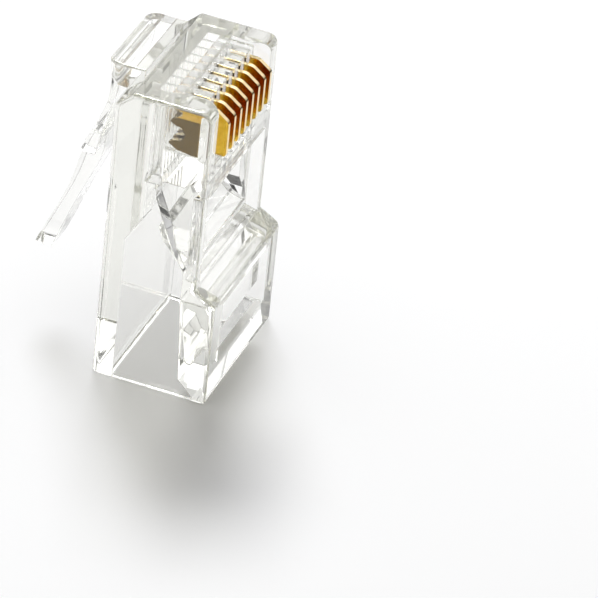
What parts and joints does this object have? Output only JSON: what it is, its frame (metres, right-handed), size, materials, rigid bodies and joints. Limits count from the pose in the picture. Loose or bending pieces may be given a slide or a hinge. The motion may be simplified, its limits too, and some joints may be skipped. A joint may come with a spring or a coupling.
{
  "type": "modular data plug",
  "caption": "Clear modular data plug with a springy latch, a row of gold blade contacts, conductor channels and press-down strain reliefs, ready to be crimped.",
  "frame": {"origin": "centre of the cable entry face", "axes": "+Z along the plug from cable entry to nose, X across the contact row, contacts face -Y, latch on the +Y side"},
  "size_m": [0.0116, 0.0141, 0.022],
  "materials": {
    "clear_polycarbonate": "clear, polished",
    "gold_contact": "polished gold plating"
  },
  "bodies": {
    "housing": {"housing": "clear_polycarbonate"},
    "latch": {"latch": "clear_polycarbonate"},
    "primary_relief": {"primary_relief": "clear_polycarbonate"},
    "secondary_relief": {"secondary_relief": "clear_polycarbonate"},
    "contact_1": {"contact_1": "gold_contact"},
    "contact_2": {"contact_2": "gold_contact"},
    "contact_3": {"contact_3": "gold_contact"},
    "contact_4": {"contact_4": "gold_contact"},
    "contact_5": {"contact_5": "gold_contact"},
    "contact_6": {"contact_6": "gold_contact"},
    "contact_7": {"contact_7": "gold_contact"},
    "contact_8": {"contact_8": "gold_contact"}
  },
  "joints": [
    {"name": "latch_flex", "type": "hinge", "parent": "housing", "child": "latch", "pos_m": [0, 0.00506, 0.02036], "axis": [-1, 0, 0], "range_deg": [0, 15], "stiffness_Nm_per_rad": 0.05},
    {"name": "primary_relief_press", "type": "hinge", "parent": "housing", "child": "primary_relief", "pos_m": [0, -0.00232, 0.0024], "axis": [-1, 0, 0], "range_deg": [0, 14]},
    {"name": "secondary_relief_press", "type": "hinge", "parent": "housing", "child": "secondary_relief", "pos_m": [0, -0.00115, 0.01478], "axis": [1, 0, 0], "range_deg": [0, 10]},
    {"name": "contact_1_crimp", "type": "slide", "parent": "housing", "child": "contact_1", "axis": [0, 1, 0], "range_m": [0, 0.00095]},
    {"name": "contact_2_crimp", "type": "slide", "parent": "housing", "child": "contact_2", "axis": [0, 1, 0], "range_m": [0, 0.00095]},
    {"name": "contact_3_crimp", "type": "slide", "parent": "housing", "child": "contact_3", "axis": [0, 1, 0], "range_m": [0, 0.00095]},
    {"name": "contact_4_crimp", "type": "slide", "parent": "housing", "child": "contact_4", "axis": [0, 1, 0], "range_m": [0, 0.00095]},
    {"name": "contact_5_crimp", "type": "slide", "parent": "housing", "child": "contact_5", "axis": [0, 1, 0], "range_m": [0, 0.00095]},
    {"name": "contact_6_crimp", "type": "slide", "parent": "housing", "child": "contact_6", "axis": [0, 1, 0], "range_m": [0, 0.00095]},
    {"name": "contact_7_crimp", "type": "slide", "parent": "housing", "child": "contact_7", "axis": [0, 1, 0], "range_m": [0, 0.00095]},
    {"name": "contact_8_crimp", "type": "slide", "parent": "housing", "child": "contact_8", "axis": [0, 1, 0], "range_m": [0, 0.00095]}
  ]
}
